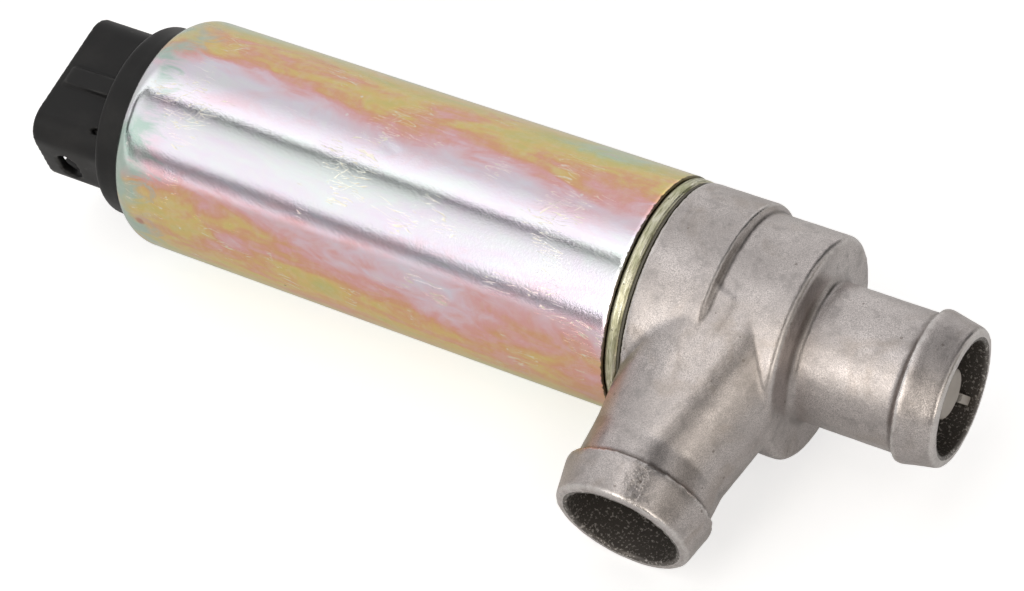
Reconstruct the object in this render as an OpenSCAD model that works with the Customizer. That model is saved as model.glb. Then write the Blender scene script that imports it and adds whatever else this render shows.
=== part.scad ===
// Idle control valve: a pull-type solenoid in a deep-drawn can, with a
// cast elbow housing that carries an axial and a side hose stub.
// Every piece is drawn along the X axis: x = 0 is the open edge of the can,
// +X runs to the axial hose stub, -Y to the side stub and -X to the plug.
// The last step turns the valve about X until the side stub's bead rests on
// the ground beside the can, and centres it above the origin.

/* [Can] */
// Outside diameter of the can
can_d = 35; // [33:0.5:40]
// Length of the can
can_len = 83; // [78:0.5:100]
// Wall of the can
can_wall = 1.2; // [0.8:0.1:1.5]
// Outside radius of the drawn shoulder
shoulder_r = 4; // [3:0.25:4.5]

/* [Connector cap] */
// Diameter of the neck that stands out of the can
neck_d = 29.4; // [28:0.2:30]
// Height of the neck above the can's end
neck_len = 3.9; // [2:0.1:8]
// Rounding of the neck's front edge
neck_edge_r = 0.8; // [0.3:0.1:1.5]
// Depth of the cap's base inside the can
cap_base_len = 6.2; // [5:0.1:9]
// Width of the plug socket
plug_w = 23.1; // [21:0.1:25]
// Height of the plug socket
plug_h = 14.8; // [13.5:0.1:16]
// Length of the plug socket
plug_len = 13; // [11:0.5:20]
// Corner radius of the plug socket
plug_corner_r = 4; // [2.5:0.1:5]
// Wall of the plug socket
plug_wall = 1.5; // [1:0.1:2]
// Width of the keying rib on the socket
key_w = 3.2; // [2:0.1:5]
// Distance of the keying rib from the socket's middle
key_offset = 1.1; // [0:0.1:5]
// Height of the keying rib at the socket's mouth
key_low = 0.5; // [0.2:0.1:0.8]
// Height of the keying rib at the neck
key_high = 1.3; // [0.8:0.1:2]
// Width of the windows for the plug's wire clip
window_w = 3.6; // [3:0.1:4.4]
// Height of the windows for the plug's wire clip
window_h = 5.4; // [4.5:0.1:6.5]
// Distance of the windows' middle below the socket's middle
window_drop = 0.9; // [0:0.1:1.4]
// Distance from the socket's mouth to the middle of a window
window_depth = 4.9; // [4:0.1:6]

/* [Terminals] */
// Width of a terminal blade
blade_w = 2.8; // [2:0.1:3.2]
// Thickness of a terminal blade
blade_t = 0.8; // [0.6:0.05:1]
// Pitch between the two blades
blade_pitch = 5; // [4.5:0.1:6]
// Distance of the blade tips below the socket's mouth
blade_setback = 4.6; // [4.4:0.1:6]
// Distance of the solder tabs from the axis
tab_y = 10.9; // [10.5:0.1:11.5]

/* [Coil] */
// Thickness of the rear flux plate
flux_t = 3; // [2:0.1:4]
// Wall of the bobbin's tube
bobbin_wall = 0.8; // [0.6:0.1:1]
// Thickness of each bobbin flange
flange_t = 1.5; // [1.2:0.1:2]
// Outside diameter of the winding
winding_d = 28.4; // [26:0.2:30]
// Thickness of the insulating tape
tape_t = 0.35; // [0.2:0.05:0.5]

/* [Magnetic core] */
// Bore of the guide tube
guide_d = 15.1; // [14.5:0.1:15.4]
// Wall of the guide tube
guide_wall = 0.5; // [0.3:0.05:0.6]
// Length of the fixed pole core
core_len = 27.7; // [24:0.1:32]
// Diameter of the armature
armature_d = 14.4; // [13.6:0.1:14.5]
// Travel of the plunger
stroke = 4.5; // [3:0.1:5]
// Thickness of the stop washer on the core
stop_t = 0.4; // [0.2:0.1:0.8]
// Diameter of the plunger shaft
shaft_d = 4; // [3.6:0.1:4.4]
// Outside diameter of the shaft bushes
bush_d = 6.2; // [5.8:0.1:7]

/* [End plate] */
// Thickness of the rim between can and housing
rim_t = 1.98; // [1.5:0.02:3]
// Radial step from the can down to the rim
rim_inset = 0.2; // [0.1:0.05:0.6]
// Depth of the end plate inside the can
plate_depth = 8; // [6:0.5:10]
// Depth of the collar inside the housing
collar_len = 4; // [3:0.1:5]
// Thickness of the gasket
gasket_t = 0.3; // [0.2:0.05:0.6]

/* [Valve housing] */
// Radial step from the can down to the housing
housing_inset = 0.13; // [0:0.01:0.4]
// Radial step from the housing's rear part down to its front part
step_drop = 1.13; // [0.8:0.01:1.6]
// Distance from the can's edge to the step
step_x = 12.89; // [12:0.01:16]
// Distance from the can's edge to the flat shoulder
face_x = 24.5; // [24:0.1:28]
// Rounding of the housing's outer edges
cast_edge_r = 1.1; // [0.5:0.1:2]
// Wall around the valve chamber
housing_wall = 3.97; // [3.5:0.01:4.6]
// Thickness of the wall at the axial stub
end_wall = 4; // [3.6:0.1:5]

/* [Hose stubs] */
// Outside diameter of both stubs
stub_d = 20.2; // [18.5:0.1:20.8]
// Bore of both stubs
stub_bore_d = 16.2; // [16.2:0.1:17]
// Diameter of the hose bead's crest
bead_d = 22; // [21:0.1:23]
// Width of the crest's flat land
bead_land = 0.9; // [0.6:0.1:1.5]
// Length of the bead's tapered lead-in
bead_taper = 4.3; // [3:0.1:5]
// Diameter of the stub's lip
lip_d = 20.2; // [19.4:0.1:20.4]
// Rounding of the lip's outer edge
lip_r = 0.8; // [0.4:0.1:1]
// Distance from the can's edge to the axial mouth
axial_reach = 45.64; // [42:0.1:60]
// Distance from the axis to the side mouth
side_reach = 35.12; // [32:0.1:45]
// Distance from the can's edge to the side stub's axis
side_x = 11.14; // [11:0.02:13]
// Distance from the valve's axis to the start of the side stub's swollen root
root_start = 24; // [22:0.5:26]
// How far the root leans towards the axial stub
root_lean = 6.9; // [5:0.1:7.5]
// Rise of the root's front ridge
root_rise_front = 5.8; // [4:0.1:6]
// Rise of the root's rear ridge
root_rise_rear = 7.9; // [6:0.1:8]
// How far the root's rear ridge narrows
root_taper = 1; // [0:0.1:2]

/* [Port bridge] */
// Diameter of the hub in the axial mouth
hub_d = 7.2; // [6.6:0.1:8]
// Length of the hub
hub_len = 7; // [6:0.5:9]
// Depth of the hub's face below the mouth
hub_setback = 1.35; // [0.5:0.05:4]
// Width of each arm
arm_w = 1.3; // [1:0.1:2]
// Depth of each arm along the bore
arm_len = 1.6; // [1.2:0.1:3]
// Depth of the notches that hold the arms
notch_depth = 0.6; // [0.4:0.1:0.8]
// Direction of the arms about the axis
arm_angle = -64; // [-90:1:90]

/* [Valve] */
// Diameter of the poppet's disc
poppet_d = 18; // [17:0.1:20]
// Thickness of the poppet's disc
poppet_t = 3; // [2.5:0.1:4]
// Diameter of the poppet's spring guide
guide_boss_d = 6.8; // [6.2:0.1:7]
// Length of the poppet's spring guide
guide_boss_len = 3.4; // [2:0.1:4]
// Bore of the seat
seat_bore_d = 13.6; // [12.5:0.1:14]
// Outside diameter of the seat
seat_d = 20.8; // [20:0.1:22]
// Thickness of the seat in its counterbore
seat_t = 1.95; // [1.5:0.05:2.5]
// Height of the seat's lip
seat_lip = 0.45; // [0.3:0.05:0.8]
// Width of the seat's lip
seat_lip_w = 0.8; // [0.5:0.1:1.2]
// Thickness of the sealing ring in the poppet
seal_t = 1.1; // [0.8:0.1:1.6]
// Radial width of the sealing ring
seal_w = 2.2; // [1.6:0.1:2.6]
// Thickness of the shaft clip
clip_t = 0.8; // [0.6:0.1:1]
// Outside diameter of the shaft clip
clip_d = 7.6; // [7:0.1:8.4]

/* [Return spring] */
// Wire of the return spring
wire_d = 0.8; // [0.6:0.05:0.9]
// Inside diameter of the return spring
spring_bore_d = 7.8; // [7.4:0.1:9]
// Turns of the return spring
spring_turns = 6; // [4:1:6]

/* [Seals] */
// Cord diameter of the cap's sealing ring
cap_seal_cord = 1.9; // [1.5:0.1:2.1]

/* [Fits] */
// Radial clearance of a running shaft
run_fit = 0.04; // [0.02:0.01:0.09]
// Radial clearance between pieces that are assembled by hand
slip_fit = 0.05; // [0.03:0.01:0.1]
// Clearance around moulded-in metal
insert_fit = 0.02; // [0.01:0.01:0.05]
// Gap between moving faces at the end of their travel
stop_gap = 0.1; // [0.1:0.05:0.3]

/* [Hidden] */

// Smoothness of round shapes
fine = 96;
// Smoothness of small round shapes
coarse = 32;
// Extra depth that carries a cut past the surface it opens
over = 0.5;

// Wall that closes the hub in front of the shaft
hub_wall = 0.9;
// Gap between that wall and the shaft at rest
hub_gap = 0.6;
// Distance of the cap's base from the start of the can's shoulder
base_setback = 0.2;
// Depth of the socket's floor below the neck's front
floor_drop = 1;
// Height by which the sealing ring stands proud of the poppet
seal_proud = 0.15;
// Radial step of the neck where it passes the can
neck_step = 0.05;
// Length of that step in front of the can's end
neck_step_len = 1;
// Extra length of the cone that fills the can's shoulder
cone_spare = 0.4;
// Distance of the keying rib from the socket's mouth
key_setback = 1.5;
// Length of the small notch in the socket's upper wall
notch_len = 1.4;
// Width of the notch
notch_w = 0.9;
// Depth of the notch
notch_deep = 1.1;
// Distance of the notch from the neck
notch_gap = 1.6;
// Distance of the notch's far side from the socket's middle
notch_side = 8.7;
// Width of the solder tabs
tab_w = 2;
// Width of the terminals' cross piece
tab_cross = 1.8;
// Plastic in front of the cross piece
tab_cover = 1;
// Distance that the solder tabs stop short of the bobbin flange's front
tab_short = 0.5;
// Clearance around the solder tabs in the flux plate
tab_clear = 0.3;
// Gap between the bobbin's flanges and the can
bobbin_gap = 0.4;
// Rounding of the pole core's front edge
core_edge_r = 0.6;
// Radial step from the core down to the stop washer
washer_inset = 0.4;
// Rounding of the rim's edges
rim_edge_r = 0.6;
// Rounding of the collar's edge
collar_edge_r = 0.6;
// Radial step from the rim down to the gasket
gasket_inset = 0.2;
// Fillet between the axial stub and the housing's face
stub_fillet = 0.9;
// Fillet at the foot of the housing's step
step_fillet = 0.5;
// Rounding of the housing's step
step_edge_r = 0.5;
// Radial clearance of the side stub around the can's and the rim's edge
ring_clear = 0.3;
// Distance from the valve's axis to the end of the swollen root inside the housing
root_end = 2.2;
// Radial step from the side stub down to the start of the swollen root
root_inset = 0.05;
// How many times that much more the root's front ridge starts under it
root_sink = 2;
// How much nearer to the housing the root's rear ridge starts than the front one
root_lead = 1.3;
// Rounding of the housing's edge at the gasket
joint_edge_r = 0.4;
// Rounding of the hub's edge
hub_edge_r = 0.7;
// Width of the armature's vent grooves
vent_w = 1.6;
// Rounding of the armature's edges
armature_edge_r = 0.6;
// Rounding of the shaft's ends
shaft_end_r = 0.5;
// Rounding of the poppet's rear edge
poppet_edge_r = 0.6;
// Share of the shaft's diameter that the clip's opening spans
clip_opening = 0.7;
// Gap at each end of the return spring
spring_gap = 0.05;
// Distance of the armature's nose behind the can's edge at rest
armature_nose_gap = 1.5;
// Thickness of the end plate's front wall inside the can
plate_front_wall = 1;
// Length of shaft that the rear bush holds at rest
bush_engage = 3.7;
// Depth of the shaft's hole in the core past the rear bush
core_hole_spare = 2.5;
// Length of the rear bush
rear_bush_len = 8;

// Stations along the axis, from the plug to the axial mouth
can_end = -can_len;
neck_front = can_end - neck_len;
plug_mouth = neck_front - plug_len;
can_bore_d = can_d - 2 * can_wall;
rim_d = can_d - 2 * rim_inset;
housing_d = can_d - 2 * housing_inset;
step_d = housing_d - 2 * step_drop;
chamber_d = housing_d - 2 * housing_wall;
shoulder_x = can_end + shoulder_r;
base_rear = shoulder_x - base_setback;
base_front = base_rear + cap_base_len;
flux_front = base_front + flux_t;
plate_rear = -plate_depth;
core_front = base_front + core_len;
stop_front = core_front + stop_t;
armature_rear = stop_front + stroke + stop_gap;
armature_front = -armature_nose_gap;
chamber_end = face_x - end_wall;
housing_rear = rim_t + gasket_t;
collar_front = rim_t + collar_len;
seat_front = chamber_end - seat_lip;
seal_face = seat_front - stop_gap;
poppet_face = seal_face - seal_proud;
poppet_rear = poppet_face - poppet_t;
hub_face = axial_reach - hub_setback;
hub_rear = hub_face - hub_len;
shaft_front = hub_face - hub_wall - hub_gap;
shaft_rear = core_front - bush_engage;

// Cap and plug
cap_base_d = can_bore_d - 2 * slip_fit;
socket_w = plug_w - 2 * plug_wall;
socket_h = plug_h - 2 * plug_wall;
socket_floor = neck_front + floor_drop;
neck_step_d = neck_d + 2 * neck_step;
seal_mid_d = can_bore_d - 2 * slip_fit - cap_seal_cord;
groove_d = seal_mid_d - cap_seal_cord - 2 * slip_fit;
groove_w = cap_seal_cord + 2 * slip_fit;
groove_x = (base_rear + base_front) / 2;
tab_rear = base_front - tab_cover - tab_cross;
tab_front = flux_front + flange_t - tab_short;

// Coil
guide_out_d = guide_d + 2 * guide_wall;
bobbin_bore_d = guide_out_d + 2 * slip_fit;
bobbin_d = bobbin_bore_d + 2 * bobbin_wall;
bobbin_flange_d = can_bore_d - 2 * bobbin_gap;
core_d = guide_d - 2 * slip_fit;

// Rest position: the bead's crest and the can's side touch the ground
crest_reach = side_reach - bead_taper - lip_r;
crest_span = sqrt(crest_reach ^ 2 + (bead_d / 2) ^ 2);
lean = asin(can_d / 2 / crest_span) - atan2(bead_d / 2, crest_reach);
lip_corner = [side_reach - lip_r, lip_d / 2 - lip_r];
y_low = lip_corner[0] * cos(lean) + lip_corner[1] * sin(lean) + lip_r;
centre_x = (plug_mouth + axial_reach) / 2;
centre_y = (can_d / 2 - y_low) / 2;

// Revolves a profile drawn as [radius, station] about the valve's axis
module turned() {
    rotate([90, 0, 90]) rotate_extrude($fn = fine) children();
}

// A ring's section between two radii and two stations
module band(r_in, r_out, x_from, x_to) {
    translate([r_in, x_from]) square([r_out - r_in, x_to - x_from]);
}

// The sliver outside a rounding, to be cut from a convex corner of a section
module corner_off(r, x, rad, out, ahead) {
    difference() {
        translate([r - (out > 0 ? rad : over), x - (ahead > 0 ? rad : over)])
            square(rad + over);
        translate([r - out * rad, x - ahead * rad]) circle(rad, $fn = fine);
        translate([r - out * rad, x - ahead * rad])
            translate([out > 0 ? -rad - over : 0, -rad - over])
                square([rad + over, 2 * (rad + over)]);
        translate([r - out * rad, x - ahead * rad])
            translate([-rad - over, ahead > 0 ? -rad - over : 0])
                square([2 * (rad + over), rad + over]);
    }
}

// The fillet's section in the corner between a tube and a shoulder
module corner_fill(r, x, rad) {
    difference() {
        translate([r - over, x - over]) square(rad + over);
        translate([r + rad, x + rad]) circle(rad, $fn = fine);
    }
}

// A rectangle with rounded corners about the origin
module rounded_rect(w, h, rad) {
    square([w - 2 * rad, h], center = true);
    square([w, h - 2 * rad], center = true);
    for (sx = [-1, 1], sy = [-1, 1])
        translate([sx * (w / 2 - rad), sy * (h / 2 - rad)]) circle(rad, $fn = fine);
}

// Extrudes a section drawn in Y and Z between two stations
module along_x(x_from, x_to) {
    translate([x_from, 0, 0]) rotate([90, 0, 90]) linear_extrude(x_to - x_from) children();
}

// Puts a piece into the rest position
module at_rest() {
    translate([-centre_x, -centre_y, can_d / 2]) rotate([lean, 0, 0]) children();
}

// Deep-drawn steel can with a rounded shoulder and a hole for the neck
module solenoid_can() {
    bore_r = can_bore_d / 2;
    mid_r = can_d / 2 - shoulder_r;
    inner_r = shoulder_r - can_wall;
    color("#b9a77a") at_rest() turned() difference() {
        union() {
            band(bore_r, can_d / 2, shoulder_x, 0);
            difference() {
                translate([mid_r, shoulder_x]) circle(shoulder_r, $fn = fine);
                translate([mid_r, shoulder_x]) circle(inner_r, $fn = fine);
                translate([0, shoulder_x]) square(can_len);
                translate([0, shoulder_x - can_len]) square([mid_r, 2 * can_len]);
            }
        }
        band(0, neck_step_d / 2 + slip_fit, can_end - over, shoulder_x);
    }
}

// Outline of a terminal: blade, cross piece and solder tab
module terminal_outline(grow) {
    blade_y = blade_pitch / 2 - blade_w / 2;
    blade_tip = plug_mouth + blade_setback;
    translate([blade_tip - grow, blade_y - grow])
        square([tab_rear + tab_cross - blade_tip + 2 * grow, blade_w + 2 * grow]);
    translate([tab_rear - grow, blade_y - grow])
        square([tab_cross + 2 * grow, tab_y + tab_w / 2 - blade_y + 2 * grow]);
    translate([tab_rear - grow, tab_y - tab_w / 2 - grow])
        square([tab_front - tab_rear + 2 * grow, tab_w + 2 * grow]);
}

// Terminal stamping, or the space it needs with a clearance around it
module terminal(side, grow) {
    translate([0, 0, -blade_t / 2 - grow])
        linear_extrude(blade_t + 2 * grow)
            mirror([0, side < 0 ? 1 : 0]) terminal_outline(grow);
}

module terminal_blade_left() {
    color("#c9c6bd") at_rest() terminal(1, 0);
}

module terminal_blade_right() {
    color("#c9c6bd") at_rest() terminal(-1, 0);
}

// Keying rib that rises from the socket's mouth to the neck
module keying_rib() {
    rib_start = plug_mouth + key_setback;
    translate([0, key_w / 2 - key_offset, 0]) rotate([90, 0, 0]) linear_extrude(key_w)
        polygon([
            [rib_start, plug_h / 2 - plug_wall / 2],
            [rib_start, plug_h / 2 + key_low],
            [neck_front + over, plug_h / 2 + key_high],
            [neck_front + over, plug_h / 2 - plug_wall / 2]]);
}

// Window with round ends for the plug's wire clip, through both narrow walls
module clip_windows() {
    x = plug_mouth + window_depth;
    r = window_w / 2;
    z_low = -window_h / 2 - window_drop + r;
    z_high = window_h / 2 - window_drop - r;
    rotate([90, 0, 0]) linear_extrude(2 * plug_w, center = true) {
        translate([x - r, z_low]) square([window_w, z_high - z_low]);
        for (z = [z_low, z_high]) translate([x, z]) circle(r, $fn = fine);
    }
}

// Moulded cap: base in the can, round neck and plug socket
module connector_cap() {
    cone_rear = base_rear - (cap_base_d - neck_d) / 2 - cone_spare;
    color("#26262a") at_rest() difference() {
        union() {
            turned() difference() {
                union() {
                    band(0, neck_d / 2, neck_front, base_front);
                    band(0, neck_step_d / 2, can_end - neck_step_len, base_front);
                    band(0, cap_base_d / 2, base_rear, base_front);
                    polygon([
                        [0, cone_rear], [neck_step_d / 2, cone_rear],
                        [cap_base_d / 2, base_rear], [0, base_rear]]);
                }
                corner_off(neck_d / 2, neck_front, neck_edge_r, 1, -1);
                band(groove_d / 2, can_d, groove_x - groove_w / 2, groove_x + groove_w / 2);
            }
            along_x(plug_mouth, neck_front + over)
                rounded_rect(plug_w, plug_h, plug_corner_r);
            keying_rib();
        }
        along_x(plug_mouth - over, socket_floor)
            rounded_rect(socket_w, socket_h, plug_corner_r - plug_wall);
        clip_windows();
        translate([neck_front - notch_len - notch_gap, -notch_side, plug_h / 2 - notch_deep])
            cube([notch_len, notch_w, notch_deep + over]);
        for (side = [-1, 1]) terminal(side, insert_fit);
    }
}

// Sealing ring between cap and can
module cap_seal() {
    color("#1b1b1b") at_rest() turned()
        translate([seal_mid_d / 2, groove_x]) circle(d = cap_seal_cord, $fn = coarse);
}

// Steel washer that closes the magnetic circuit behind the coil
module rear_flux_plate() {
    slot = [flux_t + 2 * over, tab_w + 2 * tab_clear, blade_t + 2 * tab_clear];
    color("#9a9c9e") at_rest() difference() {
        turned() band(guide_out_d / 2 + slip_fit, cap_base_d / 2, base_front, flux_front);
        for (side = [-1, 1])
            translate([(base_front + flux_front) / 2, side * tab_y, 0]) cube(slot, center = true);
    }
}

// Spool that carries the winding
module coil_bobbin() {
    tab_space = [2 * flange_t, tab_w + 2 * insert_fit, blade_t + 2 * insert_fit];
    color("#d8d2bf") at_rest() difference() {
        turned() {
            band(bobbin_bore_d / 2, bobbin_d / 2, flux_front, plate_rear);
            band(bobbin_bore_d / 2, bobbin_flange_d / 2, flux_front, flux_front + flange_t);
            band(bobbin_bore_d / 2, bobbin_flange_d / 2, plate_rear - flange_t, plate_rear);
        }
        for (side = [-1, 1])
            translate([flux_front, side * tab_y, 0]) cube(tab_space, center = true);
    }
}

// Copper winding, as one solid ring
module coil_winding() {
    color("#b5713f") at_rest() turned()
        band(bobbin_d / 2 + slip_fit, winding_d / 2, flux_front + flange_t, plate_rear - flange_t);
}

// Tape around the winding
module coil_tape() {
    color("#c8b35a") at_rest() turned()
        band(winding_d / 2 + slip_fit, winding_d / 2 + slip_fit + tape_t,
             flux_front + flange_t, plate_rear - flange_t);
}

// Thin brass tube that the armature travels in
module guide_tube() {
    color("#c7a04f") at_rest() turned()
        band(guide_d / 2, guide_out_d / 2, base_front, plate_rear);
}

// Fixed steel core with a hole for the rear bush
module pole_core() {
    hole_rear = core_front - rear_bush_len - core_hole_spare;
    color("#8d8f92") at_rest() turned() difference() {
        band(0, core_d / 2, base_front, core_front);
        band(0, bush_d / 2 + slip_fit, hole_rear, core_front + over);
        corner_off(core_d / 2, core_front, core_edge_r, 1, 1);
    }
}

// Bronze bush that holds the shaft's rear end
module rear_bush() {
    color("#a9793f") at_rest() turned()
        band(shaft_d / 2 + run_fit, bush_d / 2, core_front - rear_bush_len, core_front);
}

// Plastic washer that stops the armature short of the core
module stop_washer() {
    color("#e6e2d6") at_rest() turned()
        band(bush_d / 2, core_d / 2 - washer_inset, core_front, stop_front);
}

// Zinc-plated steel plate: rim, spigot in the can and collar in the housing
module end_plate() {
    color("#8f8a5a") at_rest() turned() difference() {
        union() {
            band(0, can_bore_d / 2 - slip_fit, plate_rear, 0);
            band(0, rim_d / 2, 0, rim_t);
            band(0, chamber_d / 2 - slip_fit, rim_t, collar_front);
        }
        band(0, guide_d / 2, plate_rear - over, -plate_front_wall);
        band(0, bush_d / 2 + slip_fit, -plate_front_wall - over, collar_front + over);
        corner_off(rim_d / 2, rim_t, rim_edge_r, 1, 1);
        corner_off(rim_d / 2, 0, rim_edge_r, 1, -1);
        corner_off(chamber_d / 2 - slip_fit, collar_front, collar_edge_r, 1, 1);
    }
}

// Bronze bush that the shaft slides in at the end plate
module front_bush() {
    color("#a9793f") at_rest() turned()
        band(shaft_d / 2 + run_fit, bush_d / 2, -plate_front_wall, collar_front);
}

// Flat gasket between the end plate and the housing
module housing_gasket() {
    color("#1f1f1f") at_rest() turned()
        band(chamber_d / 2 + slip_fit, rim_d / 2 - gasket_inset, rim_t, housing_rear);
}

// Section of a hose stub outside its bore, from inside the casting to its lip
module stub_section(root, mouth) {
    crest = mouth - bead_taper - lip_r;
    band(0, stub_d / 2, root, mouth - lip_r);
    band(0, bead_d / 2, crest - bead_land, crest);
    polygon([
        [0, crest], [bead_d / 2, crest],
        [lip_d / 2, mouth - lip_r], [lip_d / 2 - lip_r, mouth - lip_r / 2],
        [0, mouth - lip_r / 2]]);
    band(0, lip_d / 2 - lip_r, mouth - lip_r - over, mouth);
    intersection() {
        translate([lip_d / 2 - lip_r, mouth - lip_r]) circle(lip_r, $fn = fine);
        band(lip_d / 2 - lip_r, lip_d, mouth - lip_r, mouth + over);
    }
}

// Swollen root of the side stub: cones that fan out from the stub's axis and
// rise until their ridges meet the housing's skin
module stub_root() {
    difference() {
        for (front = [0:0.5:1]) {
            reach = [
                front * root_lean, root_start - root_end,
                root_rise_rear + front * (root_rise_front - root_rise_rear)];
            translate([side_x, root_lead * (1 - front) - root_start, 0])
                rotate([0, acos(reach[2] / norm(reach)), atan2(reach[1], reach[0])])
                    cylinder(h = norm(reach), r1 = stub_d / 2 - root_inset * (1 + root_sink * front),
                             r2 = stub_d / 2 - root_inset - (1 - front) * root_taper, $fn = fine);
        }
        translate([face_x, -root_start, -can_d]) cube([can_d, root_start, 2 * can_d]);
    }
}

// Outer form of the casting: two turned steps, two hose stubs and a swollen root
module housing_form() {
    turned() difference() {
        union() {
            band(0, housing_d / 2, housing_rear, step_x);
            band(0, step_d / 2, step_x - over, face_x);
            stub_section(face_x - over, axial_reach);
            corner_fill(stub_d / 2, face_x, stub_fillet);
            corner_fill(step_d / 2, step_x, step_fillet);
        }
        corner_off(housing_d / 2, step_x, step_edge_r, 1, 1);
        corner_off(housing_d / 2, housing_rear, joint_edge_r, 1, -1);
        corner_off(step_d / 2, face_x, cast_edge_r, 1, 1);
    }
    translate([side_x, 0, 0]) rotate([90, 0, 0])
        rotate_extrude($fn = fine) stub_section(0, side_reach);
    stub_root();
}

// Cast aluminium elbow housing
module valve_housing() {
    arm_space = [arm_len + 2 * insert_fit, arm_w + 2 * insert_fit];
    color("#a8a09a") at_rest() difference() {
        housing_form();
        turned() {
            band(0, chamber_d / 2, -over, chamber_end);
            band(0, seat_d / 2 + slip_fit, chamber_end - over, chamber_end + seat_t);
            band(0, stub_bore_d / 2, chamber_end, axial_reach + over);
            band(0, can_d / 2 + ring_clear, -can_len, housing_rear);
        }
        translate([side_x, 0, 0]) rotate([90, 0, 0])
            cylinder(d = stub_bore_d, h = side_reach + over, $fn = fine);
        rotate([arm_angle, 0, 0])
            translate([hub_face - arm_space[0] + insert_fit, -stub_bore_d / 2 - notch_depth,
                       -arm_space[1] / 2])
                cube([arm_space[0], stub_bore_d + 2 * notch_depth, arm_space[1]]);
    }
}

// Brass seat pressed into the end of the chamber
module valve_seat() {
    lip_out = seat_bore_d / 2 + seat_lip_w;
    color("#c7a04f") at_rest() turned() {
        band(seat_bore_d / 2, seat_d / 2, chamber_end, chamber_end + seat_t);
        band(seat_bore_d / 2, lip_out, seat_front, chamber_end + over);
    }
}

// Moulded bridge in the axial mouth: hub with a blind bore and two arms
module port_bridge() {
    reach = stub_bore_d + 2 * notch_depth - 2 * insert_fit;
    color("#d9d4c8") at_rest() difference() {
        union() {
            turned() difference() {
                band(0, hub_d / 2, hub_rear, hub_face);
                corner_off(hub_d / 2, hub_face, hub_edge_r, 1, 1);
            }
            rotate([arm_angle, 0, 0])
                translate([hub_face - arm_len, -reach / 2, -arm_w / 2])
                    cube([arm_len, reach, arm_w]);
        }
        turned() band(0, shaft_d / 2 + run_fit, hub_rear - over, hub_face - hub_wall);
    }
}

// Steel armature with vent grooves along its side
module armature() {
    color("#8d8f92") at_rest() difference() {
        turned() difference() {
            band(shaft_d / 2 + insert_fit, armature_d / 2, armature_rear, armature_front);
            corner_off(armature_d / 2, armature_rear, armature_edge_r, 1, -1);
            corner_off(armature_d / 2, armature_front, armature_edge_r, 1, 1);
        }
        for (side = [-1, 1])
            translate([armature_rear - over, -vent_w / 2, side * armature_d / 2 - vent_w / 2])
                cube([armature_front - armature_rear + 2 * over, vent_w, vent_w]);
    }
}

// Stainless shaft from the rear bush to the hub
module plunger_shaft() {
    color("#b8bbbe") at_rest() turned() difference() {
        band(0, shaft_d / 2, shaft_rear, shaft_front);
        corner_off(shaft_d / 2, shaft_front, shaft_end_r, 1, 1);
        corner_off(shaft_d / 2, shaft_rear, shaft_end_r, 1, -1);
    }
}

// Poppet: disc with a spring guide and a recess for the sealing ring
module valve_poppet() {
    seal_mid = seat_bore_d / 2 + seat_lip_w / 2;
    color("#2e2e30") at_rest() turned() difference() {
        union() {
            band(0, poppet_d / 2, poppet_rear, poppet_face);
            band(0, guide_boss_d / 2, poppet_rear - guide_boss_len, poppet_rear + over);
        }
        band(0, shaft_d / 2 + insert_fit, poppet_rear - can_len, poppet_face + over);
        band(seal_mid - seal_w / 2 - insert_fit, seal_mid + seal_w / 2 + insert_fit,
             seal_face - seal_t, seal_face + over);
        corner_off(poppet_d / 2, poppet_rear, poppet_edge_r, 1, -1);
    }
}

// Rubber ring that meets the seat's lip
module poppet_seal() {
    seal_mid = seat_bore_d / 2 + seat_lip_w / 2;
    color("#1b1b1b") at_rest() turned()
        band(seal_mid - seal_w / 2, seal_mid + seal_w / 2, seal_face - seal_t, seal_face);
}

// Open clip that holds the poppet on the shaft
module shaft_clip() {
    opening = shaft_d * clip_opening;
    color("#6f7173") at_rest() along_x(poppet_face, poppet_face + clip_t) difference() {
        circle(d = clip_d, $fn = fine);
        circle(d = shaft_d + 2 * insert_fit, $fn = fine);
        translate([0, -opening / 2]) square([clip_d, opening]);
    }
}

// Points of the spring's wire: one ring of points for each step of the helix
// Sides of the spring wire's section
spring_sides = 8;
// Steps of the helix in each turn
steps_per_turn = 16;
spring_rear = collar_front + wire_d / 2 + spring_gap;
spring_front = poppet_rear - wire_d / 2 - spring_gap;
spring_steps = spring_turns * steps_per_turn;
spring_r = (spring_bore_d + wire_d) / 2;

// Station of the wire's middle: the first and last turns lie flat
function spring_x(turn) =
    let (live = spring_turns - 2,
         lift = (spring_front - spring_rear - 2 * wire_d) / live)
    turn < 1 ? spring_rear + wire_d * turn
    : turn > spring_turns - 1 ? spring_front - wire_d * (spring_turns - turn)
    : spring_rear + wire_d + lift * (turn - 1);

function spring_point(step, side) =
    let (turn = step / steps_per_turn,
         around = 360 * turn,
         tilt = 360 * side / spring_sides,
         r = spring_r + wire_d / 2 * cos(tilt))
    [spring_x(turn) + wire_d / 2 * sin(tilt), r * cos(around), r * sin(around)];

// Compression spring between the end plate and the poppet
module return_spring() {
    points = [for (step = [0:spring_steps], side = [0:spring_sides - 1])
        spring_point(step, side)];
    sides = [for (step = [0:spring_steps - 1], side = [0:spring_sides - 1])
        let (next = (side + 1) % spring_sides, low = step * spring_sides)
        [low + side, low + next, low + spring_sides + next, low + spring_sides + side]];
    rear_end = [for (side = [spring_sides - 1:-1:0]) side];
    front_end = [for (side = [0:spring_sides - 1]) spring_steps * spring_sides + side];
    color("#8a8c8e") at_rest() polyhedron(points, concat(sides, [rear_end], [front_end]));
}

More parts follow.
